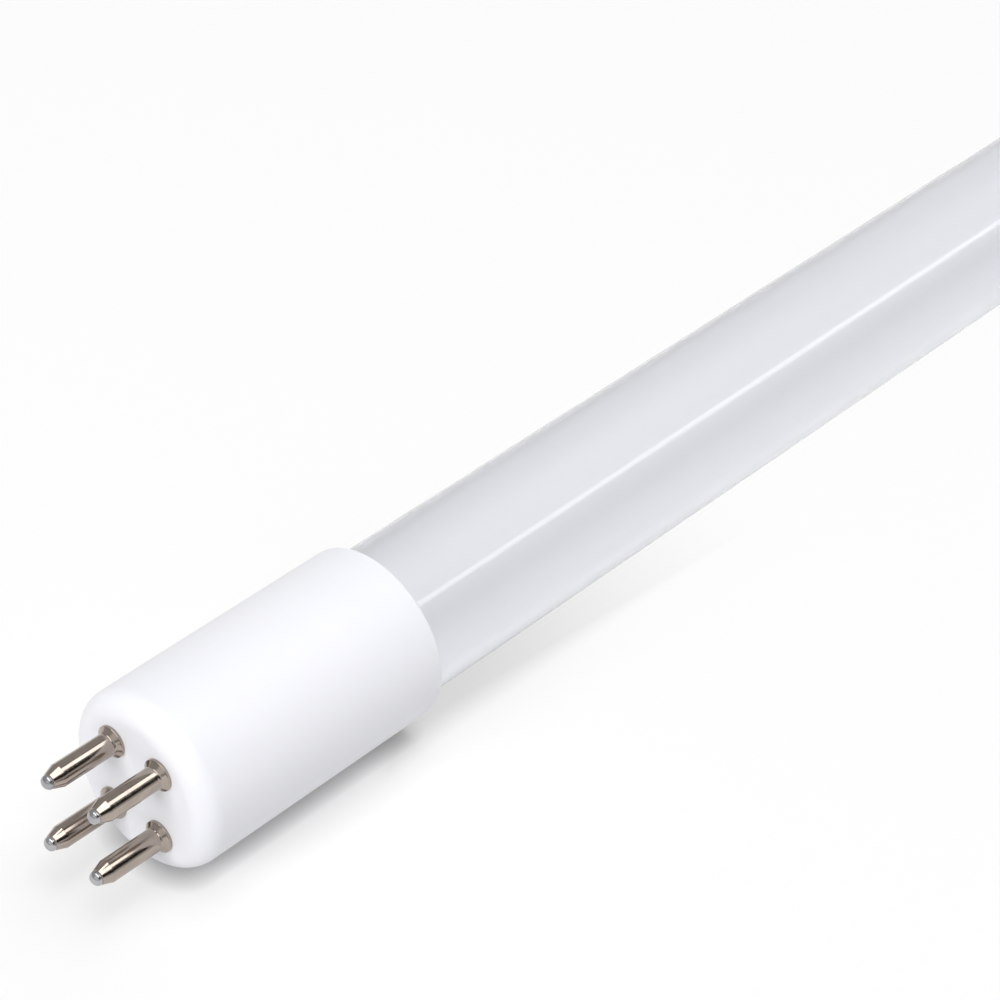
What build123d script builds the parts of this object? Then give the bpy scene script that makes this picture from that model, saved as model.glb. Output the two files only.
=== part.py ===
from build123d import *
import os
from math import atan2, cos, pi, sin

# UV-C amalgam lamp, four-pin single-ended, lying on its side
# Millimetres. The lamp's axis runs along X with the pins towards -X and +Z is up.
# The origin is under the middle of the whole lamp, on the surface it lies on.

# Lamp
lamp_length = 357.0          # base face to the far end, without the pins

# Quartz tube
tube_od = 16.6
tube_wall = 1.0
tube_end_wall = 1.5
tube_shoulder = 4.0          # length over which the tube narrows
tube_neck_d = 11.5           # where it meets the pinch
pinch_length = 9.0
pinch_width = 12.0
pinch_thickness = 3.2
pinch_edge = 1.2             # rounding of the pinch's long edges

# Ceramic caps
cap_wall = 0.65
cement_gap = 0.6             # between the tube and the bore of a cap
cap_face = 2.6               # thickness of the closed end
cap_face_edge = 2.4          # outer rounding of the closed end
cap_bore_edge = 1.2          # slope at the bottom of the bore
cap_rim_edge = 0.25          # bevel round the open rim
base_cap_length = 31.7
end_cap_length = 25.0
cement_recess = 0.5          # cement surface below the cap's rim
base_wiring_room = 6.4       # base face wall to the near pinch
end_wiring_room = 2.4        # end face wall to the far pinch

# Contact pins
pin_spacing_y = 6.35
pin_spacing_z = 7.92
pin_d = 2.4
pin_bore_d = 1.2
pin_length = 8.6             # base face to the top of the solder
pin_collar_d = 3.4
pin_collar_rim = 0.3
pin_collar_flare = 0.45
pin_cone_length = 1.3
pin_mouth_d = 1.65
pin_hole_clearance = 0.02    # on the radius
pin_rivet_d = 3.2
pin_rivet_height = 0.45

# Solder tips
solder_height = 0.6
solder_foot_d = 1.5
solder_depth = 1.6           # plug inside the pin

# Wiring and electrodes
wire_d = 0.5
wire_straight = 1.6          # straight run behind a rivet and before a pinch
lead_pitch = 7.0             # between the two leads of an electrode
lead_embed = 2.0             # length of an outer lead inside the pinch
foil_length = 5.0
foil_width = 2.0
foil_thickness = 0.1
post_d = 0.6
post_reach = 7.0             # end wall to the coil
clamp_size = 1.1
coil_wire_d = 0.3
coil_d = 1.8                 # over the coated turns
coil_root_d = 1.4            # between the turns
coil_turns = 3
coil_leg = 0.5               # straight leg between clamp and coil

# Amalgam bead on the tube's wall
amalgam_from_end = 52.0
amalgam_ball = 4.5
amalgam_height = 0.8

# Sizes that follow
tube_r = tube_od / 2
tube_ri = tube_r - tube_wall
bore_r = tube_r + cement_gap
cap_r = bore_r + cap_wall
pinch_near = cap_face + base_wiring_room
shell_near = pinch_near + pinch_length
pinch_far = lamp_length - cap_face - end_wiring_room
shell_far = pinch_far - pinch_length
straight_near = shell_near + tube_shoulder
straight_far = shell_far - tube_shoulder
pin_r = pin_d / 2
pin_end = pin_length - solder_height
wire_end = solder_depth - pin_end
place = Pos(-(lamp_length - pin_length) / 2, 0, cap_r)

# Pins seen from the pin side: 1 and 2 above, 3 and 4 below
pin_places = [
    (side * pin_spacing_y / 2, level * pin_spacing_z / 2)
    for level in (1, -1)
    for side in (1, -1)
]


def turned(*points):
    """A solid of revolution about X from (x, radius) points."""
    return revolve(Plane.XZ * make_face(Polyline(*points, close=True)), Axis.X)


def turned_face(face):
    return revolve(Plane.XZ * face, Axis.X)


def corner(face, x, r, radius):
    """Round the corner of a turning profile that lies at (x, r)."""
    near = sorted(face.vertices(), key=lambda v: abs(v.X - x) + abs(v.Y - r))[0]
    return fillet(near, radius)


def rod(radius, x0, x1, y=0.0, z=0.0):
    return Pos((x0 + x1) / 2, y, z) * Rot(0, 90, 0) * Cylinder(radius, abs(x1 - x0))


def cap(length):
    """A cap with its closed end at x = 0 and its rim at x = length."""
    face = make_face(
        Polyline(
            (0, 0), (0, cap_r),
            (length - cap_rim_edge, cap_r), (length, cap_r - cap_rim_edge), (length, bore_r),
            (cap_face + cap_bore_edge, bore_r), (cap_face, bore_r - cap_bore_edge), (cap_face, 0),
            close=True,
        )
    )
    return turned_face(corner(face, 0, cap_r, cap_face_edge))


# Caps
base_cap = cap(base_cap_length)
for y, z in pin_places:
    base_cap -= rod(pin_r + pin_hole_clearance, -1, cap_face + 1, y, z)
end_cap = Pos(lamp_length, 0, 0) * Rot(0, 0, 180) * cap(end_cap_length)

# Contact pin along -X from the base face, with its collar outside and its rivet inside
rivet_end = cap_face + pin_rivet_height
flare_end = pin_collar_rim + pin_collar_flare
cone_start = pin_end - pin_cone_length
pin_face = make_face(
    Polyline(
        (rivet_end, pin_bore_d / 2),
        (cap_face, pin_rivet_d / 2),
        (cap_face, pin_r),
        (0, pin_r),
        (0, pin_collar_d / 2),
        (-pin_collar_rim, pin_collar_d / 2),
        (-flare_end, pin_r),
        (-cone_start, pin_r),
        (-pin_end, pin_mouth_d / 2),
        (-pin_end, pin_bore_d / 2),
        close=True,
    )
)
contact_pin = turned_face(pin_face)

# Solder: a plug in the pin's bore that takes the wire's end, and a round dome on the mouth
foot = solder_foot_d / 2
dome_r = (foot**2 + solder_height**2) / (2 * solder_height)
dome_turn = atan2(foot, dome_r - solder_height) / 2
dome_mid = (dome_r * (1 - cos(dome_turn)) - pin_length, dome_r * sin(dome_turn))
solder_edge = Polyline(
    (-pin_length, 0),
    (wire_end, 0),
    (wire_end, pin_bore_d / 2),
    (-pin_end, pin_bore_d / 2),
    (-pin_end, foot),
)
solder_dome = ThreePointArc((-pin_end, foot), dome_mid, (-pin_length, 0))
solder_tip = turned_face(make_face([*solder_edge.edges(), *solder_dome.edges()]))


# Wires from the pins: 1 and 2 to the near pinch, 3 and 4 to the cement at the rim
def wire(points):
    path = Polyline(*points)
    start = Plane(origin=path @ 0, z_dir=path % 0)
    return sweep(start * Circle(wire_d / 2), path=path, transition=Transition.RIGHT)


lead_start = pinch_near + lead_embed
cement_start = straight_near + cap_rim_edge
bend_in = rivet_end + wire_straight
wires = []
for n, (y, z) in enumerate(pin_places):
    if z > 0:
        end_y, end_z = (lead_pitch / 2 if y > 0 else -lead_pitch / 2), 0.0
        end_x, bend_out = lead_start, pinch_near - wire_straight
    else:
        turn = atan2(z, y)
        gap_r = tube_r + cement_gap / 2
        end_y, end_z = gap_r * cos(turn), gap_r * sin(turn)
        end_x, bend_out = cement_start, shell_near - wire_straight
    wires.append(
        wire([(wire_end, y, z), (bend_in, y, z), (bend_out, end_y, end_z), (end_x, end_y, end_z)])
    )


# Electrode mounts: everything of one end, drawn for the near end and turned over for the far one
def end_pieces():
    """Foils, posts and coil with the pinch's outer end at x = 0."""
    foil_end = lead_embed + foil_length
    coil_x = pinch_length + tube_end_wall + post_reach
    foils, posts = [], []
    for side in (1, -1):
        y = side * lead_pitch / 2
        foils.append(
            Pos(lead_embed + foil_length / 2, y, 0) * Box(foil_length, foil_width, foil_thickness)
        )
        post = rod(post_d / 2, foil_end, coil_x, y)
        post += Pos(coil_x, y, 0) * Box(clamp_size, clamp_size, clamp_size)
        posts.append(post)
    leg_end = (lead_pitch - clamp_size) / 2
    half = leg_end - coil_leg
    turns = round(coil_turns)
    pitch = 2 * half / turns
    winding = []
    for n in range(turns):
        winding += [(n * pitch - half, coil_root_d / 2), ((n + 0.5) * pitch - half, coil_d / 2)]
    coil = turned(
        (-leg_end, 0), (-leg_end, coil_wire_d / 2), (-half, coil_wire_d / 2),
        *winding,
        (half, coil_root_d / 2), (half, coil_wire_d / 2), (leg_end, coil_wire_d / 2), (leg_end, 0),
    )
    return foils, posts, Pos(coil_x, 0, 0) * Rot(0, 0, 90) * coil


foils, posts, coil = end_pieces()
near = Pos(pinch_near, 0, 0)
far = Pos(pinch_far, 0, 0) * Rot(0, 0, 180)
far_leads = [
    rod(wire_d / 2, pinch_far + end_wiring_room / 2, pinch_far - lead_embed, side * lead_pitch / 2)
    for side in (1, -1)
]


# Quartz envelope: one blown piece, closed by a flat pinch at each end round the foils and leads
def vessel(radius, neck, x0, x1):
    """A round tube that narrows to a neck over the shoulder at each end."""
    return turned(
        (x0, 0), (x0, neck), (x0 + tube_shoulder, radius),
        (x1 - tube_shoulder, radius), (x1, neck), (x1, 0),
    )


pinch_section = Plane.YZ * RectangleRounded(pinch_width, pinch_thickness, pinch_edge)
pinch_run = pinch_length + tube_end_wall / 2
quartz_tube = vessel(tube_r, tube_neck_d / 2, shell_near, shell_far)
quartz_tube += Pos(pinch_near, 0, 0) * extrude(pinch_section, pinch_run)
quartz_tube += Pos(pinch_far - pinch_run, 0, 0) * extrude(pinch_section, pinch_run)
quartz_tube -= vessel(
    tube_ri, tube_neck_d / 2 - tube_wall, shell_near + tube_end_wall, shell_far - tube_end_wall
)
for piece in foils:
    quartz_tube -= [near * piece, far * piece]
for side in (1, -1):
    y = side * lead_pitch / 2
    inside = lead_embed + foil_length
    through = pinch_length + tube_end_wall + 0.5 * post_reach
    for x0, turn in ((pinch_near, 1), (pinch_far, -1)):
        quartz_tube -= rod(wire_d / 2, x0 - turn, x0 + turn * lead_embed, y)
        quartz_tube -= rod(post_d / 2, x0 + turn * inside, x0 + turn * through, y)

# Cement rings between the tube and the caps
def ring(x0, x1):
    return turned((x0, tube_r), (x0, bore_r), (x1, bore_r), (x1, tube_r))


base_cement = ring(cement_start, base_cap_length - cement_recess)
end_cement = ring(lamp_length - end_cap_length + cement_recess, straight_far - cap_rim_edge)

# Amalgam bead, wetted onto the bottom of the tube's wall
amalgam = Pos(
    lamp_length - amalgam_from_end, 0, amalgam_height - tube_ri - amalgam_ball
) * Sphere(amalgam_ball)
amalgam &= rod(tube_ri, 0, lamp_length)

nodes = {
    "base_cap": base_cap,
    "end_cap": end_cap,
    "quartz_tube": quartz_tube,
    "base_cement": base_cement,
    "end_cement": end_cement,
    "near_coil": near * coil,
    "far_coil": far * coil,
    "amalgam": amalgam,
}
for n, (y, z) in enumerate(pin_places, 1):
    nodes[f"contact_pin_{n}"] = Pos(0, y, z) * contact_pin
    nodes[f"solder_tip_{n}"] = Pos(0, y, z) * solder_tip
    nodes[f"lead_wire_{n}"] = wires[n - 1]
for n in (1, 2):
    nodes[f"near_foil_{n}"] = near * foils[n - 1]
    nodes[f"near_post_{n}"] = near * posts[n - 1]
    nodes[f"far_foil_{n}"] = far * foils[n - 1]
    nodes[f"far_post_{n}"] = far * posts[n - 1]
    nodes[f"far_lead_{n}"] = far_leads[n - 1]

os.makedirs("parts", exist_ok=True)
for name, shape in nodes.items():
    export_step(place * shape, f"parts/{name}.step")
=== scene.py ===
# %% [markdown]
# A UV-C lamp on a white table
#
# This lesson dresses a finished CAD model of a straight quartz lamp: a quartz tube, a white ceramic base
# with four contact pins on one end and a plain white cap on the other. The CAD model gives every size and
# place. Here each visible piece gets a smooth surface and a finish that behaves like the real material.

import bpy
import numpy as np
from mathutils import Matrix, Vector


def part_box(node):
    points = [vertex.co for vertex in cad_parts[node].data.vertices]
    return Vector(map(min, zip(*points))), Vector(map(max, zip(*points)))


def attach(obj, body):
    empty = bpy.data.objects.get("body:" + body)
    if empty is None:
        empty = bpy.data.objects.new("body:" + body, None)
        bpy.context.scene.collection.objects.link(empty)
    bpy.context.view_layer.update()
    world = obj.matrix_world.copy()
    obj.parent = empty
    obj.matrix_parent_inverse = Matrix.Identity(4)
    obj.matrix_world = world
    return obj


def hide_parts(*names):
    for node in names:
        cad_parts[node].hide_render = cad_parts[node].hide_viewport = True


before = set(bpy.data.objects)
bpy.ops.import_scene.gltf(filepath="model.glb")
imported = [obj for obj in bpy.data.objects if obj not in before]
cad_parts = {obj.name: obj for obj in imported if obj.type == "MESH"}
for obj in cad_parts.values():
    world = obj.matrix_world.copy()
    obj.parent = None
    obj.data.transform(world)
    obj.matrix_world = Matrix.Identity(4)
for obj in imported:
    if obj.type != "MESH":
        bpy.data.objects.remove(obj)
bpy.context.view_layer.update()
MM = 0.001

# %% [markdown]
# Sizes that the pieces share
#
# The lamp is a turned part, so nearly every size is a radius or a distance along the lamp's axis. The
# axis is parallel to X at the height of one cap radius. Reading the boxes of the CAD nodes keeps the
# dressed pieces in step with the solids: the base's front face, the rim, the tube's radius and the far
# end all come from there.

# %% Axis, radii and stations along the lamp
def corners_of(node):
    """The lowest and the highest corner of a CAD node's box, in millimetres."""
    return [np.array(corner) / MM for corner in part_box(node)]


cap_low, cap_high = corners_of("base_cap")
end_low, end_high = corners_of("end_cap")
tube_low, tube_high = corners_of("quartz_tube")
AXIS_Z = (cap_low[2] + cap_high[2]) / 2
CAP_R = (cap_high[2] - cap_low[2]) / 2
FACE_X, RIM_X = cap_low[0], cap_high[0]
END_RIM_X, END_FACE_X = end_low[0], end_high[0]
TUBE_R = (tube_high[2] - tube_low[2]) / 2
CEMENT_GAP = 0.6
BORE_R = TUBE_R + CEMENT_GAP
print("axis height", round(AXIS_Z, 3), "cap radius", round(CAP_R, 3), "tube radius", round(TUBE_R, 3))


# %% [markdown]
# Turning a profile
#
# A lathe makes a surface by spinning one outline. In numbers that is a grid with two parameters: the
# position i along the outline and the angle t round the axis, with the point (x, r cos t, r sin t).
# Outlines are given as corner points with a rounding radius each, because real edges are never perfectly
# sharp and the small roundings are what catch the light.

# %% Rounded outline
def rounded(corners, radii, steps, guard=0.05):
    """Outline through the corners, each replaced by an arc tangent to both of its sides.

    An arc of radius q that turns by the angle a starts q tan(a/2) before its corner. A guard point on the
    straight run beside each arc keeps the shading of the flat part flat.
    """
    p = np.array(corners, float)
    out = [p[0]]
    for before, here, after, q in zip(p[:-2], p[1:-1], p[2:], radii[1:-1]):
        u, v = here - before, after - here
        lu, lv = np.linalg.norm(u), np.linalg.norm(v)
        u, v = u / lu, v / lv
        turn = np.arccos(np.clip(u @ v, -1, 1))
        if q <= 0 or turn < 1e-6:
            out.append(here)
            continue
        reach = q * np.tan(turn / 2)
        side = v - u * (u @ v)
        side /= np.linalg.norm(side)
        a = np.linspace(0, turn, steps + 1)[:, None]
        arc = here - u * reach + side * q - side * q * np.cos(a) + u * q * np.sin(a)
        out.append(here - u * min(reach + guard, (reach + lu) / 2))
        out.extend(arc)
        out.append(here + v * min(reach + guard, (reach + lv) / 2))
    out.append(p[-1])
    return np.array(out)


sample = rounded([(0, 0), (0, 1), (1, 1)], [0, 0.2, 0], steps=7)
print("a corner rounded in 7 steps takes", len(sample) - 2, "points")

# %% [markdown]
# From a grid to a mesh
#
# Each grid becomes one mesh whose object stays at the origin, with the place of the piece in its points. An
# outline that ends on the axis is closed there by a fan of triangles. The volume of a closed shell tells
# which way its faces point, so it can be turned outwards without looking at it. Last, each piece hides the
# CAD node that it stands for, so that it takes over that node's place in the picture.

# %% Lathe and mesh helpers
def build(name, points, faces, smooth=True):
    """Put an array of points, in millimetres, and a list of faces into a new mesh object at the origin."""
    mesh = bpy.data.meshes.new(name)
    mesh.from_pydata((np.asarray(points) * MM).tolist(), [], faces)
    mesh.polygons.foreach_set("use_smooth", np.full(len(mesh.polygons), smooth))
    mesh.validate()
    piece = bpy.data.objects.new(name, mesh)
    bpy.context.collection.objects.link(piece)
    return piece


def lathe_grid(outline, turns, y=0.0, z=AXIS_Z, swell=0.0):
    """Points (x, y + r cos t, z + r sin t) and faces of an outline spun about an axis parallel to X.

    An end on the axis (radius 0) becomes a single pole point with a fan, so the shape is closed there.
    swell is a number or an array of the grid's shape that is added to the radius.
    """
    line = np.asarray(outline, float)
    first, last = line[0, 1] < 1e-9, line[-1, 1] < 1e-9
    rings = line[int(first): len(line) - int(last)]
    t = np.linspace(0, 2 * np.pi, turns, endpoint=False)
    r = rings[:, 1:2] + swell
    pts = np.stack([np.broadcast_to(rings[:, :1], (len(rings), turns)),
                    y + r * np.cos(t), z + r * np.sin(t)], -1).reshape(-1, 3)
    i, j = np.meshgrid(np.arange(len(rings) - 1), np.arange(turns), indexing="ij")
    k = (j + 1) % turns
    quads = np.stack([i * turns + j, i * turns + k, (i + 1) * turns + k, (i + 1) * turns + j], -1)
    faces = quads.reshape(-1, 4).tolist()
    ring = np.arange(turns)
    nxt = (ring + 1) % turns
    if first:
        pts = np.vstack([pts, [[line[0, 0], y, z]]])
        faces += np.stack([np.full(turns, len(pts) - 1), nxt, ring], -1).tolist()
    if last:
        base = (len(rings) - 1) * turns
        pts = np.vstack([pts, [[line[-1, 0], y, z]]])
        faces += np.stack([base + ring, base + nxt, np.full(turns, len(pts) - 1)], -1).tolist()
    return pts, faces


def outward(piece):
    """Turn a closed shell's faces outwards and return its volume in cubic millimetres.

    The volume is a sixth of the sum of a (b x c) over its triangles, and its sign tells where they point.
    """
    mesh = piece.data
    mesh.calc_loop_triangles()
    tri = np.empty(len(mesh.loop_triangles) * 3, np.int32)
    mesh.loop_triangles.foreach_get("vertices", tri)
    co = np.empty(len(mesh.vertices) * 3)
    mesh.vertices.foreach_get("co", co)
    a, b, c = co.reshape(-1, 3)[tri.reshape(-1, 3)].transpose(1, 0, 2)
    volume = np.einsum("ij,ij->i", a, np.cross(b, c)).sum() / 6
    if volume < 0:
        mesh.flip_normals()
    return abs(volume) / MM**3


def turned(name, outline, **grid):
    """A closed solid of revolution from an outline that starts and ends on the axis or meets itself."""
    piece = build(name, *lathe_grid(outline, **grid))
    return piece, outward(piece)


def dress(piece, mat, node):
    """Give a piece its finish, hide the CAD node that it stands for and fix it to the lamp."""
    piece.data.materials.append(mat)
    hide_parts(node)
    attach(piece, "root")


# %% [markdown]
# Helpers for finishes
#
# A finish is a small graph of shader nodes. Patterns read Object coordinates, which are metres from the
# model's origin, so a noise scale of 1000 gives grain about a millimetre across. Values that are the same
# all over go straight onto the shader's own sockets, and what varies goes through a ramp between two
# values.

# %% Finish helpers
def finish(name, **sockets):
    """A material with one Principled shader, its sockets set by name with _ for spaces."""
    mat = bpy.data.materials.new(name)
    mat.use_nodes = True
    tree = mat.node_tree
    shader = tree.nodes["Principled BSDF"]
    for key, value in sockets.items():
        shader.inputs[key.replace("_", " ")].default_value = value
    return mat, tree, shader


def grain(tree, scale, detail=3.0, stretch=(1, 1, 1)):
    """Noise on Object coordinates, with its own stretch along X, Y and Z."""
    place = tree.nodes.new("ShaderNodeTexCoord")
    turn = tree.nodes.new("ShaderNodeMapping")
    turn.inputs["Scale"].default_value = stretch
    noise = tree.nodes.new("ShaderNodeTexNoise")
    noise.inputs["Scale"].default_value = scale
    noise.inputs["Detail"].default_value = detail
    tree.links.new(place.outputs["Object"], turn.inputs["Vector"])
    tree.links.new(turn.outputs["Vector"], noise.inputs["Vector"])
    return noise.outputs["Fac"]


def vary(tree, shader, socket, noise, low, high, calm=0.3):
    """Carry a socket from low to high while the noise goes from calm to 1 - calm; a number makes a grey."""
    node = tree.nodes.new("ShaderNodeValToRGB")
    for mark, where, value in zip(node.color_ramp.elements, (calm, 1 - calm), (low, high)):
        mark.position = where
        mark.color = (value,) * 3 + (1,) if np.isscalar(value) else (*value, 1)
    tree.links.new(noise, node.inputs["Fac"])
    tree.links.new(node.outputs["Color"], shader.inputs[socket])


def bump(tree, shader, height, strength, distance):
    """Tilt the surface's normals by a height pattern, its full range worth distance in metres."""
    node = tree.nodes.new("ShaderNodeBump")
    node.inputs["Strength"].default_value = strength
    node.inputs["Distance"].default_value = distance
    tree.links.new(height, node.inputs["Height"])
    tree.links.new(node.outputs["Normal"], shader.inputs["Normal"])


# %% [markdown]
# White ceramic
#
# The caps are pressed steatite, fired smooth and white. It has a soft gloss, a very slight mottling from
# the firing and a fine unevenness that breaks up reflections. A plain white would look like plastic, so
# the colour drifts by a percent or two and the roughness with it.

# %% Ceramic finish
ceramic, tree, shader = finish("white_steatite", IOR=1.5, Specular_IOR_Level=0.28)
vary(tree, shader, "Base Color", grain(tree, 90), (0.862, 0.868, 0.908), (0.876, 0.881, 0.919))
vary(tree, shader, "Roughness", grain(tree, 400, 2), 0.46, 0.54, calm=0.35)
bump(tree, shader, grain(tree, 260, 2), strength=0.02, distance=0.0001)
print("finish", ceramic.name)

# %% [markdown]
# The two caps
#
# Each cap is a cup: a closed flat face, a generous rounding at its edge, a straight barrel and an open
# rim, with the bore inside. The outline starts on the axis at the face, goes out over the rounding and
# along the barrel, turns in at the rim and follows the bore back to the axis. Spinning it gives the cup
# in one closed shell.

# %% Caps
FACE_WALL = 2.6
FACE_EDGE, RIM_EDGE, RIM_BORE_EDGE, BORE_EDGE = 2.4, 0.25, 0.12, 1.0
FULL_TURN = 256


def cap_outline(face_x, rim_x):
    """Outline of a cup: out along its face, along the barrel, in at the rim and back along its bore."""
    floor_x = face_x + np.sign(rim_x - face_x) * FACE_WALL
    corners = [(face_x, 0), (face_x, CAP_R), (rim_x, CAP_R),
               (rim_x, BORE_R), (floor_x, BORE_R), (floor_x, 0)]
    return rounded(corners, [0, FACE_EDGE, RIM_EDGE, RIM_BORE_EDGE, BORE_EDGE, 0], steps=14)


base_cap, volume = turned("base_cap_shell", cap_outline(FACE_X, RIM_X), turns=FULL_TURN)
end_cap, end_volume = turned("end_cap_shell", cap_outline(END_FACE_X, END_RIM_X), turns=FULL_TURN)
dress(base_cap, ceramic, "base_cap")
dress(end_cap, ceramic, "end_cap")
print("cap volumes in cubic millimetres", round(volume), round(end_volume))

# %% [markdown]
# Quartz
#
# Fused quartz bends light a little less than window glass. The tube of such a lamp shows as an even, pale
# grey body, because its drawn wall scatters what lies behind it, while the outside still mirrors a light
# as one sharp line. The scatter could sit on the inner wall, but then light that runs along the wall near
# the tube's edges stays grainy for a long time. So here the outer surface scatters under a thin polished
# skin, the shader's coat, and the inner wall stays clear. The tint is weak, because light crosses four
# surfaces on its way through.

# %% Quartz finish
QUARTZ_IOR, SKIN_TINT = 1.458, (0.978, 0.983, 1.0, 1.0)
CLEAR = dict(IOR=QUARTZ_IOR, Transmission_Weight=1.0)
POLISHED_SKIN = dict(Coat_Weight=0.7, Coat_IOR=QUARTZ_IOR, Coat_Roughness=0.02, Coat_Tint=SKIN_TINT)
quartz, tree, shader = finish("fused_quartz", **CLEAR, **POLISHED_SKIN)
drawn = grain(tree, 60, 3, (0.15, 1, 1))
vary(tree, shader, "Base Color", drawn, (0.964, 0.970, 0.986), (0.976, 0.981, 0.994))
vary(tree, shader, "Roughness", grain(tree, 300, 3, (0.1, 1, 1)), 0.285, 0.32)
inner_wall, tree, shader = finish("inner_wall", **CLEAR)
drawn = grain(tree, 40, 3, (0.2, 1, 1))
vary(tree, shader, "Base Color", drawn, (0.953, 0.960, 0.982), (0.968, 0.974, 0.992))
vary(tree, shader, "Roughness", grain(tree, 120, 3, (0.2, 1, 1)), 0.02, 0.05)
print("finishes", quartz.name, inner_wall.name)

# %% [markdown]
# The tube
#
# The tube is blown in one piece: a straight hollow cylinder that narrows at each end into a flat pinch,
# hidden in the caps. Four closed shells make it: the outside, the inside with its faces turned towards
# the hollow, and the two flat pinches. A pinch is a rounded rectangle, carried straight along X.

# %% Tube outlines
SHOULDER, SHOULDER_EDGE, NECK_EDGE = 4.0, 2.5, 1.2


def vessel_outline(radius, neck, x0, x1):
    """Outline of a closed tube that narrows to a neck over the shoulder at both ends."""
    s0, s1 = x0 + SHOULDER, x1 - SHOULDER
    corners = [(x0, 0), (x0, neck), (s0, radius), (s1, radius), (x1, neck), (x1, 0)]
    return rounded(corners, [0, NECK_EDGE, SHOULDER_EDGE, SHOULDER_EDGE, NECK_EDGE, 0], steps=10)


def blade_grid(x0, x1, width=12.0, thick=3.2, edge=1.2, n=48):
    """A closed bar from x0 to x1 whose section is a rectangle with corners rounded by the radius edge.

    A point at the angle t is edge (cos t, sin t) plus the centre of its corner, which lies half the width
    less edge across and half the thickness less edge up, with the signs of cos t and sin t.
    """
    t = np.linspace(0, 2 * np.pi, n, endpoint=False)
    y = np.sign(np.cos(t)) * (width / 2 - edge) + edge * np.cos(t)
    z = np.sign(np.sin(t)) * (thick / 2 - edge) + edge * np.sin(t) + AXIS_Z
    pts = np.vstack([np.column_stack([np.full(n, x), y, z]) for x in (x0, x1)])
    j = np.arange(n)
    k = (j + 1) % n
    faces = np.stack([j, k, k + n, j + n], -1).tolist()
    return pts, faces + [j[::-1].tolist(), (j + n).tolist()]


# %% [markdown]
# Putting the four shells together
#
# The wall needs both of its surfaces, because light bends at each of them. All shells go into one mesh,
# and the inner one takes the second finish. Quartz lets nearly all light pass, and a path tracer finds
# few ways for a lamp behind two curved walls, so the tube throws no shadow of its own here. A faint
# painted shade in the table's sheet stands in for it.

# %% Tube
PINCH_LENGTH, PINCH_GAP = 9.0, 0.05
TUBE_WALL, END_WALL, NECK_R = 1.0, 1.5, 5.75
SHELL_0, SHELL_1 = tube_low[0] + PINCH_LENGTH, tube_high[0] - PINCH_LENGTH
outside = lathe_grid(vessel_outline(TUBE_R, NECK_R, SHELL_0, SHELL_1), turns=FULL_TURN)
hollow = vessel_outline(TUBE_R - TUBE_WALL, NECK_R - TUBE_WALL, SHELL_0 + END_WALL, SHELL_1 - END_WALL)
hollow = lathe_grid(hollow, turns=FULL_TURN)
shells = [outside, (hollow[0], [face[::-1] for face in hollow[1]]),
          blade_grid(tube_low[0], SHELL_0 - PINCH_GAP), blade_grid(SHELL_1 + PINCH_GAP, tube_high[0])]
starts = np.cumsum([0] + [len(points) for points, _ in shells])
tube = build("quartz_envelope", np.vstack([points for points, _ in shells]),
             [[v + start for v in face] for start, (_, faces) in zip(starts, shells) for face in faces])
quartz_volume = outward(tube)
dress(tube, quartz, "quartz_tube")
tube.data.materials.append(inner_wall)
slots = np.zeros(len(tube.data.polygons), np.int32)
slots[len(outside[1]):len(outside[1]) + len(hollow[1])] = 1
tube.data.polygons.foreach_set("material_index", slots)
# The tube casts no shadow; the painted shade in the sheet stands in for it.
tube.visible_shadow = tube.visible_diffuse = False
print("quartz in cubic millimetres", round(quartz_volume))

# %% [markdown]
# Nickel
#
# The pins are turned brass with a thin nickel plate. The plate is warm grey and keeps the fine rings of
# the turning tool, so the grain is stretched: very fine along the pin and long around it.

# %% Nickel finish
nickel, tree, shader = finish("nickel_plate", Metallic=1.0)
vary(tree, shader, "Base Color", grain(tree, 350), (0.362, 0.308, 0.266), (0.444, 0.384, 0.336))
vary(tree, shader, "Roughness", grain(tree, 900, 3, (3, 1, 1)), 0.1, 0.18)
bump(tree, shader, grain(tree, 1500, 2, (6, 0.4, 0.4)), strength=0.12, distance=0.00001)
print("finish", nickel.name)

# %% [markdown]
# The contact pins
#
# Each pin is a hollow turned tube. Its collar rests on the base's face, the shaft is straight, and the
# free end narrows in a cone to a small mouth. Behind the face a rivet holds it. The outline goes from the
# rivet over the collar and the cone into the mouth and back through the bore.

# %% Pins
HALF_Y, HALF_Z, PIN_TURN = 3.175, 3.96, 96
PIN_PLACES = [(y, AXIS_Z + z) for z in (HALF_Z, -HALF_Z) for y in (HALF_Y, -HALF_Y)]
PIN_R, PIN_BORE_R, PIN_LENGTH = 1.2, 0.6, 8.0
COLLAR_R, COLLAR_RIM, COLLAR_FLARE = 1.7, 0.3, 0.45
CONE, MOUTH_R, MOUTH_BACK = 1.3, 0.8, 0.15
RIVET_R, RIVET = 1.6, 0.45
PIN_END = FACE_X - PIN_LENGTH
MOUTH_X = PIN_END + MOUTH_BACK
back_x, collar_x = FACE_X + FACE_WALL, FACE_X - COLLAR_RIM
corners = [(back_x + RIVET, PIN_BORE_R), (back_x, RIVET_R), (back_x, PIN_R), (FACE_X, PIN_R),
           (FACE_X, COLLAR_R), (collar_x, COLLAR_R), (collar_x - COLLAR_FLARE, PIN_R),
           (PIN_END + CONE, PIN_R), (MOUTH_X, MOUTH_R), (MOUTH_X, PIN_BORE_R), (back_x + RIVET, PIN_BORE_R)]
pin_edges = [0, 0.1, 0, 0, 0.05, 0.12, 0.3, 0.12, 0.08, 0.03, 0]
pin_outline = rounded(corners, pin_edges, steps=8, guard=0.03)
for n, (y, z) in enumerate(PIN_PLACES, 1):
    pin, pin_volume = turned(f"pin_{n}_plated", pin_outline, turns=PIN_TURN, y=y, z=z)
    dress(pin, nickel, f"contact_pin_{n}")
print("pins", len(PIN_PLACES), "each", round(pin_volume, 1), "cubic millimetres")

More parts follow.
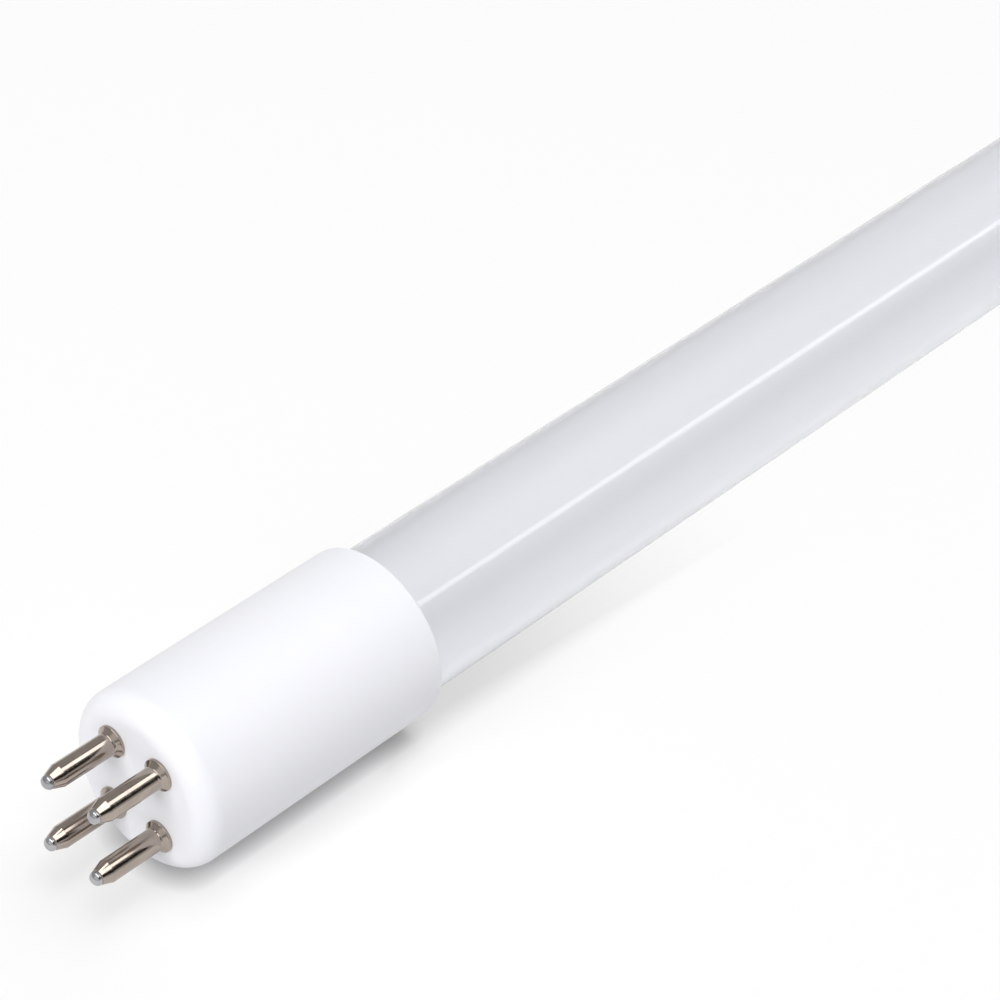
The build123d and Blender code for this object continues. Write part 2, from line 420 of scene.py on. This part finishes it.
# %% [markdown]
# Solder
#
# Solder is grey tin that set as it cooled. It is a little paler and colder than the plate of the pins, and
# its skin is slightly uneven, so a fine bump breaks up what it mirrors. A plain mirror would look too clean.

# %% Solder finish
solder, tree, shader = finish("tin_solder", Metallic=1.0)
vary(tree, shader, "Base Color", grain(tree, 700, 4), (0.40, 0.40, 0.42), (0.50, 0.50, 0.51))
vary(tree, shader, "Roughness", grain(tree, 1200), 0.17, 0.25)
bump(tree, shader, grain(tree, 1600), strength=0.2, distance=0.00002)
print("finish", solder.name)

# %% [markdown]
# Solder tips
#
# Molten solder pulls itself into a bead, never quite round. The outline is an ellipse that goes on a
# little past its widest place, down to a neck at the pin's mouth, and a plug fills the pin behind it. A
# slow wave round the axis, different on each pin, takes away the perfect symmetry.

# %% Solder tips
BEAD_R, BEAD_HEIGHT, BEAD_SINK, BEAD_TURN = 0.74, 0.6, 0.02, 124
NECK_STEP, PLUG_R, PLUG_DEPTH = 0.03, 0.595, 1.6
WAVE = 0.03
a = np.linspace(0, np.radians(BEAD_TURN), 26)
bead = np.column_stack([PIN_END + BEAD_SINK - (BEAD_HEIGHT + BEAD_SINK) * np.cos(a), BEAD_R * np.sin(a)])
plug_x = PIN_END + PLUG_DEPTH
plug = [(bead[-1, 0] + NECK_STEP, PLUG_R), (plug_x, PLUG_R), (plug_x, 0)]
solder_outline = np.vstack([bead, plug])
x, r = solder_outline[1:-1, :1], solder_outline[1:-1, 1:]
share = np.clip((PIN_END - x) / BEAD_HEIGHT, 0, 1) * (r / BEAD_R)
t = np.linspace(0, 2 * np.pi, PIN_TURN, endpoint=False)
for n, (y, z) in enumerate(PIN_PLACES, 1):
    wave = WAVE * share * (np.sin(2 * t + 1.9 * n) + 0.6 * np.sin(3 * t + 0.7 * n))
    tip, tip_volume = turned(f"solder_dome_{n}", solder_outline, turns=PIN_TURN, y=y, z=z, swell=wave)
    dress(tip, solder, f"solder_tip_{n}")
print("solder tip of", round(tip_volume, 2), "cubic millimetres")

# %% [markdown]
# Cement
#
# A ring of mineral cement holds the tube in each cap. Only its end shows, a little below the rim: a
# matte, sandy, off-white band with an uneven surface. A flat washer would look machined, so the end sags
# between tube and bore as a parabola, and a sum of waves round the ring makes it uneven.

# %% Cement rings
CEMENT_PLAY, SAG, RIPPLE, RIPPLE_DEPTH = 0.004, 0.25, 0.06, 0.6
cement, tree, shader = finish("basing_cement", Roughness=0.9)
vary(tree, shader, "Base Color", grain(tree, 1500, 6), (0.62, 0.60, 0.55), (0.80, 0.78, 0.73))
bump(tree, shader, grain(tree, 2500, 5), strength=0.8, distance=0.00006)


def cement_ring(name, node, face_x, back_x):
    """A ring between tube and bore: a parabola across the gap and waves round the axis move its end."""
    s = np.sign(back_x - face_x)
    inner, outer = TUBE_R + CEMENT_PLAY, BORE_R - CEMENT_PLAY
    u = np.linspace(0, 1, 9)
    end = np.column_stack([face_x + s * SAG * (1 - (2 * u - 1) ** 2), inner + u * (outer - inner)])
    outline = np.vstack([[(back_x, inner)], end, [(back_x, outer), (back_x, inner)]])
    pts, faces = lathe_grid(outline, turns=FULL_TURN)
    t = np.arctan2(pts[:, 2] - AXIS_Z, pts[:, 1])
    near = np.clip(1 - np.abs(pts[:, 0] - face_x) / RIPPLE_DEPTH, 0, 1)
    pts[:, 0] += s * near * RIPPLE * (1 + np.sin(5 * t + 1) * np.sin(11 * t) + 0.5 * np.sin(23 * t + 2))
    piece = build(name, pts, faces)
    outward(piece)
    dress(piece, cement, node)


base_ring, end_ring = corners_of("base_cement"), corners_of("end_cement")
cement_ring("base_cement_ring", "base_cement", face_x=base_ring[1][0], back_x=base_ring[0][0])
cement_ring("end_cement_ring", "end_cement", face_x=end_ring[0][0], back_x=end_ring[1][0])
print("cement ends at", round(base_ring[1][0], 2), "and", round(end_ring[0][0], 2))

# %% [markdown]
# Inner metal and the amalgam bead
#
# The electrodes, foils and wires sit inside the caps, so their CAD shapes stay and only get their metals:
# dark drawn tungsten, bright molybdenum foil and warm nickel wire. The amalgam is a dull silver bead on
# the wall of the tube, a shadow behind the quartz.

# %% Inner metals
def metal(name, dark, light, rough, scale):
    """A plain drawn metal: its colour drifts between two greys and its roughness with a finer grain."""
    mat, tree, shader = finish(name, Metallic=1.0)
    vary(tree, shader, "Base Color", grain(tree, scale, 4), dark, light)
    vary(tree, shader, "Roughness", grain(tree, 3 * scale), rough, rough + 0.15)
    return mat


tungsten = metal("drawn_tungsten", (0.28, 0.28, 0.29), (0.42, 0.42, 0.43), 0.35, 800)
foil = metal("molybdenum_foil", (0.45, 0.45, 0.47), (0.58, 0.58, 0.60), 0.29, 900)
wire = metal("nickel_wire", (0.50, 0.47, 0.43), (0.64, 0.61, 0.57), 0.3, 900)
silver = metal("amalgam_silver", (0.50, 0.50, 0.52), (0.72, 0.72, 0.74), 0.3, 600)
worn = {"coil": tungsten, "post": tungsten, "foil": foil, "wire": wire, "lead": wire, "amalgam": silver}
dressed = []
for name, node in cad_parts.items():
    for mat in [mat for word, mat in worn.items() if word in name]:
        node.data.materials.clear()
        node.data.materials.append(mat)
        dressed.append(name)
print("inner nodes dressed", sorted(set(dressed)))

# %% [markdown]
# Arithmetic with nodes
#
# The table and the room need a few sums of positions and directions. Three small helpers keep them
# readable: one puts Math nodes between sockets or numbers, one carries a level softly from one value to
# another while something else goes from start to stop, and one takes a position or direction apart.

# %% Node arithmetic
def worked(tree, operation, first, *others):
    """A Math operation on sockets or plain numbers, carried on from left to right over all of them."""
    for other in others:
        node = tree.nodes.new("ShaderNodeMath")
        node.operation = operation
        for socket, value in zip(node.inputs, (first, other)):
            if isinstance(value, (int, float)):
                socket.default_value = value
            else:
                tree.links.new(value, socket)
        first = node.outputs["Value"]
    return first


def faded(tree, value, start, stop, first=0.0, last=1.0):
    """The level first before start and last after stop, with the smooth step 3 u^2 - 2 u^3 between them."""
    node = tree.nodes.new("ShaderNodeMapRange")
    node.interpolation_type = "SMOOTHSTEP"
    for socket, number in zip(node.inputs[1:5], (start, stop, first, last)):
        socket.default_value = number
    tree.links.new(value, node.inputs[0])
    return node.outputs[0]


def axes_of(tree, coordinates):
    """The three sockets X, Y and Z of one kind of texture coordinates."""
    place = tree.nodes.new("ShaderNodeTexCoord")
    split = tree.nodes.new("ShaderNodeSeparateXYZ")
    tree.links.new(place.outputs[coordinates], split.inputs["Vector"])
    return [split.outputs[axis] for axis in "XYZ"]


# %% [markdown]
# Painted shade on the sheet
#
# The lamp lies on a plain white sheet. The tube throws no shadow of its own here, so a painted shadow
# stands in for it in the sheet's colour and glow: a faint band under the tube, which shows through the
# quartz, and a wedge behind the base's rim, where base and tube together would keep light away. Both are
# the largest of a few soft steps along and across the lamp, with 1 for a sheet that keeps all its light.
# What looks through the quartz sees only the painted band.

# %% Sheet and its painted shade
BAND, BAND_Y, BAND_WIDTH, BAND_FADE = 0.17, 3.5 * MM, 6.5 * MM, 12 * MM
WEDGE, WEDGE_LENGTH, WEDGE_FADE, WEDGE_INNER, WEDGE_OUTER = 0.22, 55 * MM, 8 * MM, 5 * MM, 9.5 * MM
rim, end_rim = RIM_X * MM, END_RIM_X * MM
sheet, tree, shader = finish("white_sheet", Roughness=0.95, Specular_IOR_Level=0.1)
along, aside, _ = axes_of(tree, "Object")
path = tree.nodes.new("ShaderNodeLightPath")
through = path.outputs["Is Transmission Ray"]
from_band = worked(tree, "ABSOLUTE", worked(tree, "SUBTRACT", aside, BAND_Y), 0.0)
painted_band = worked(tree, "MAXIMUM",
              faded(tree, along, rim, rim + BAND_FADE, 1.0, 1.0 - BAND),
              faded(tree, along, end_rim - BAND_FADE, end_rim, 1.0 - BAND, 1.0),
              faded(tree, from_band, 0.0, BAND_WIDTH, 1.0 - BAND, 1.0))
from_axis = worked(tree, "ABSOLUTE", aside, 0.0)
painted_wedge = worked(tree, "MAXIMUM",
               faded(tree, along, rim - WEDGE_FADE, rim, 1.0, 1.0 - WEDGE),
               faded(tree, along, rim, rim + WEDGE_LENGTH, 1.0 - WEDGE, 1.0),
               faded(tree, from_axis, WEDGE_INNER, WEDGE_OUTER, 1.0 - WEDGE, 1.0), through)
# kept is the painted shadow: 1 where the sheet keeps all its light, less in the painted band and wedge
kept = worked(tree, "MULTIPLY", painted_band, painted_wedge)
print("shade on", sheet.name, "is at most", BAND, "under the tube and", WEDGE, "behind the rim")

# %% [markdown]
# Painted bands in the wall of the tube
#
# Light that enters near the tube's edge is mirrored inside the wall, so it shows another part of the
# sheet than the middle of the tube does. A clear tube shows its wall that way: a grey band along the
# upper edge and a pale one along the lower edge. Here those bands are painted reflections: for these
# rays alone, which Glossy Depth finds, the sheet's glow is made paler just in front of the tube, and
# dimmer right under it and far behind it.

# %% Painted bands of the wall
WALL_FRONT, WALL_UNDER, WALL_BEHIND, WALL_FAR = -0.42, 0.45, -0.08, 0.36
TO_UNDER, TO_BEHIND, TO_FAR = (-5.8 * MM, -4.6 * MM), (8 * MM, 14 * MM), (22 * MM, 60 * MM)
in_wall = worked(tree, "GREATER_THAN", path.outputs["Glossy Depth"], 0.5)
taken = worked(tree, "ADD",
               faded(tree, aside, *TO_UNDER, WALL_FRONT, WALL_UNDER),
               faded(tree, aside, *TO_BEHIND, 0.0, WALL_BEHIND - WALL_UNDER),
               faded(tree, aside, *TO_FAR, 0.0, WALL_FAR - WALL_BEHIND))
painted_wall_bands = worked(tree, "MULTIPLY", in_wall, taken)
print("the wall's bands take", WALL_FAR, "from the sheet far behind the tube")

# %% [markdown]
# The table
#
# A white picture ground needs a floor that reads as white without pouring light onto the lamp: seen
# directly, mirrored or through the quartz, the sheet glows a little by itself, and the rest of its
# brightness is ordinary lit white, which keeps the soft shadow under the lamp. The painted shade and the
# painted wall bands from above are laid into that colour and glow. Ambient occlusion takes the glow away
# where the base touches the sheet. The light that the sheet throws back on to the lamp is a little
# weaker than the sheet looks.

# %% Table
SHEET_WHITE, BOUNCE_LOSS = 0.92, 0.2
GLOW_SEEN, GLOW_THROUGH, DIM_THROUGH = 0.45, 0.8, 0.14
CONTACT, CONTACT_SAMPLES, HALF_TABLE = 2.5 * MM, 16, 9000.0
loss = worked(tree, "MULTIPLY", path.outputs["Is Diffuse Ray"], BOUNCE_LOSS)
white = worked(tree, "SUBTRACT", SHEET_WHITE, loss)
# The painted shade (kept) darkens the sheet's colour.
tree.links.new(worked(tree, "MULTIPLY", white, kept), shader.inputs["Base Color"])
seen = worked(tree, "MAXIMUM", path.outputs["Is Camera Ray"], path.outputs["Is Glossy Ray"])
share = worked(tree, "MAXIMUM", worked(tree, "MULTIPLY", seen, GLOW_SEEN),
               worked(tree, "MULTIPLY", through, GLOW_THROUGH))
contact = tree.nodes.new("ShaderNodeAmbientOcclusion")
contact.inputs["Distance"].default_value = CONTACT
contact.samples = CONTACT_SAMPLES
# Through the quartz the glow is dimmed, and the painted wall bands change it further.
dim = worked(tree, "ADD", DIM_THROUGH, painted_wall_bands)
dimmed = worked(tree, "SUBTRACT", 1.0, worked(tree, "MULTIPLY", through, dim))
glow = tree.nodes.new("ShaderNodeEmission")
# The painted shade dims the glow as well.
tree.links.new(worked(tree, "MULTIPLY", contact.outputs["AO"], kept, dimmed), glow.inputs["Strength"])
mix = tree.nodes.new("ShaderNodeMixShader")
tree.links.new(share, mix.inputs["Fac"])
tree.links.new(shader.outputs["BSDF"], mix.inputs[1])
tree.links.new(glow.outputs["Emission"], mix.inputs[2])
tree.links.new(mix.outputs["Shader"], tree.nodes["Material Output"].inputs["Surface"])
sheet_corners = [(sx * HALF_TABLE, sy * HALF_TABLE, 0) for sx, sy in ((-1, -1), (1, -1), (1, 1), (-1, 1))]
table = build("table", sheet_corners, [[0, 1, 2, 3]], smooth=False)
table.data.materials.append(sheet)
print("table", 2 * HALF_TABLE * MM, "metres wide")

# %% [markdown]
# Camera
#
# The camera stands in front of the pins, above the table and to the lamp's right, with a long lens, so
# that the lamp runs away from the lower left of the picture and leaves it on the right. Its place is
# given from the middle of the base's face, and two directions fix how it is turned: its right side, and
# its top at right angles to that.

# %% Camera
EYE_FROM_FACE = (-149.673, -168.27, 216.40)
RIGHT, UP = (0.67471, -0.73629, 0.05149), (0.43510, 0.45311, 0.77806)
SENSOR, LENS = 36.0, 118.854
NEAR_CLIP, FAR_CLIP = 0.01, 50.0
eye = (Vector((FACE_X, 0.0, AXIS_Z)) + Vector(EYE_FROM_FACE)) * MM
right = Vector(RIGHT).normalized()
up = Vector(UP)
up = (up - right * right.dot(up)).normalized()
camera_data = bpy.data.cameras.new("photo_camera")
camera_data.sensor_width, camera_data.lens = SENSOR, LENS
camera_data.clip_start, camera_data.clip_end = NEAR_CLIP, FAR_CLIP
camera = bpy.data.objects.new("photo_camera", camera_data)
camera.matrix_world = Matrix.Translation(eye) @ Matrix((right, up, right.cross(up))).transposed().to_4x4()
bpy.context.collection.objects.link(camera)
bpy.context.scene.camera = camera
print("camera at", [round(v / MM, 1) for v in eye])

# %% [markdown]
# Places for lights
#
# A product photographer lights a clear tube with a wide soft box overhead and long thin boxes whose
# reflections draw bright lines along the glass and the metal. Where a light has to stand to be seen in a
# round piece follows from the mirror law: a ray from the eye to a point on the axis bounces off the side
# that faces the eye. A box is an area light that faces the lamp. Some boxes light the lamp, and others
# only show in what it mirrors.

# %% Light helpers
def mirror_place(x, turn, reach):
    """Place seen in the lamp's side at the station x, in metres.

    The side's normal n is the direction to the eye across the axis, turned by an angle towards the back.
    The ray v to the eye is mirrored to r = 2 (n v) n - v, and r goes on until it is reach from the axis.
    """
    point = np.array([x * MM, 0.0, AXIS_Z * MM])
    v = np.array(eye) - point
    facing = np.arctan2(v[2], v[1]) - np.radians(turn)
    n = np.array([0.0, np.cos(facing), np.sin(facing)])
    r = 2 * (n @ v) * n - v
    return point + r * reach / np.hypot(r[1], r[2])


def ring_place(x, angle, reach=0.95):
    """Place (x, reach cos a, reach sin a) on a ring round the X axis, in metres, with a in degrees."""
    a = np.radians(angle)
    return np.array([x, reach * np.cos(a), reach * np.sin(a)])


def soft_box(name, corners, power, lit=True, shown=True):
    """A rectangular area light whose near, far and side corners are given; it faces the lamp.

    lit=False keeps it to reflections alone, and shown=False keeps it out of them.
    """
    a, b, c = (np.array(v) for v in corners)
    middle = (a + b) / 2 + (c - a) / 2
    along = Vector(b - a)
    across = Vector(c - a)
    across -= along * along.dot(across) / along.length_squared
    data = bpy.data.lights.new(name, "AREA")
    data.shape = "RECTANGLE"
    data.size, data.size_y = along.length, across.length
    data.energy = power
    along.normalize()
    across.normalize()
    back = along.cross(across)
    if back.dot(Vector(middle)) < 0:
        across, back = -across, -back
    lamp = bpy.data.objects.new(name, data)
    lamp.matrix_world = Matrix.Translation(middle) @ Matrix((along, across, back)).transposed().to_4x4()
    lamp.visible_camera = lamp.visible_transmission = False
    lamp.visible_diffuse, lamp.visible_glossy = lit, shown
    bpy.context.collection.objects.link(lamp)
    print(name, "at", [round(v, 2) for v in middle], "size", round(data.size, 2), round(data.size_y, 2))


# %% [markdown]
# Five soft boxes
#
# The top box gives most of the light, and the front box lights the face with the pins. Neither shows in
# the metal. The other three are only mirrored: the strip draws the line along the tube, the shaft box the
# line along the straight part of the pins, and the cone box the patch on their cones.

# %% Soft boxes
STRIP_LOW, STRIP_HIGH, STRIP_REACH = -2.6, 0.9, 1.2
TUBE_NEAR, TUBE_FAR = RIM_X - 12.0, END_RIM_X
strip_ends = [(TUBE_NEAR, STRIP_LOW), (TUBE_FAR, STRIP_LOW), (TUBE_NEAR, STRIP_HIGH)]
strip = [mirror_place(x, turn, STRIP_REACH) for x, turn in strip_ends]
shaft = [ring_place(0.18, 90), ring_place(0.41, 90), ring_place(0.18, 120)]
cone = [ring_place(-0.42, 65), ring_place(-0.08, 65), ring_place(-0.42, 128)]
top = [(-0.6, -0.75, 1.6), (0.5, -0.75, 1.6), (-0.6, 0.35, 1.6)]
front = [(-1.2, 0.3, 1.0), (-1.2, -0.5, 1.0), (-1.5, 0.3, 0.4)]
soft_box("strip_box", strip, power=3.4, lit=False)
soft_box("shaft_box", shaft, power=0.95, lit=False)
soft_box("cone_box", cone, power=3.0, lit=False)
soft_box("top_box", top, power=12.3, shown=False)
soft_box("front_box", front, power=8.3, shown=False)

# %% [markdown]
# The room
#
# Polished metal is only as lively as what stands round it. The room is dim, with a pale cove just above
# the table and pale walls: one at the lamp's far end, a low one on the camera's side, one that the pins
# point at and, for reflections alone, one at the back. A dark card on the camera's side, also only
# mirrored, draws the dark line below the bright one on each pin. A ray that left through the quartz sees
# an even pale grey at least. Each wall is a product of soft steps on the ray's direction, whose three
# parts run from -1 to 1, and the brightest one wins. The two numbers after a direction are where its step
# starts and where it stops.

# %% Room
DIM, COVE, CARD, GLASS = 0.26, 0.95, 0.92, 0.85
FRONT, BACK, NEAR, NEAR_BACK, END, END_SIDE = 0.58, 0.46, 0.85, 0.2, 1.0, 0.45
world = bpy.data.worlds.new("dim_room")
world.use_nodes = True
tree = world.node_tree
ahead, aside, height = axes_of(tree, "Generated")
path = tree.nodes.new("ShaderNodeLightPath")
glossy = path.outputs["Is Glossy Ray"]
cove = faded(tree, height, 0.06, 0.12, COVE, DIM)
front_wall = worked(tree, "MULTIPLY", faded(tree, aside, -0.35, -0.6),
                    faded(tree, height, 0.45, 0.32, 0.0, FRONT))
card = worked(tree, "MULTIPLY", faded(tree, height, 0.24, 0.32), faded(tree, height, 0.70, 0.62),
              faded(tree, aside, -0.38, -0.5, 0.0, CARD), faded(tree, ahead, -0.35, -0.25), glossy)
uncovered = worked(tree, "SUBTRACT", 1.0, card)
room = worked(tree, "MULTIPLY", worked(tree, "MAXIMUM", cove, front_wall), uncovered)
end_wall = worked(tree, "MULTIPLY", faded(tree, ahead, 0.52, 0.60),
                  faded(tree, aside, -0.62, -0.42, END_SIDE, END))
near_wall = worked(tree, "MULTIPLY", faded(tree, ahead, -0.3, -0.5), faded(tree, height, 0.16, 0.26),
                   faded(tree, aside, 0.35, 0.1, NEAR_BACK, NEAR))
back_wall = worked(tree, "MULTIPLY", faded(tree, aside, 0.05, 0.2, 0.0, BACK), glossy)
passed = worked(tree, "GREATER_THAN", path.outputs["Transmission Depth"], 0.5)
direct = worked(tree, "LESS_THAN", path.outputs["Diffuse Depth"], 0.5)
glass = worked(tree, "MULTIPLY", passed, direct, GLASS)
level = worked(tree, "MAXIMUM", room, end_wall, near_wall, back_wall, glass)
tree.links.new(level, tree.nodes["Background"].inputs["Color"])
bpy.context.scene.world = world
print("room", world.name, "with", len(tree.nodes), "nodes")

# %% [markdown]
# Light paths
#
# A ray that enters the wall near the tube's edge is mirrored inside it many times before it leaves. More
# bounces than usual, and no early end for a path, keep those edges from going dark or grainy. Colours are
# shown as they are written, without a film look.

# %% Light paths and colours
BOUNCES = {"max_bounces": 32, "transmission_bounces": 24, "glossy_bounces": 16, "min_light_bounces": 12}
for name, count in BOUNCES.items():
    setattr(bpy.context.scene.cycles, name, count)
bpy.context.scene.view_settings.view_transform = "Standard"
print("light paths", BOUNCES)
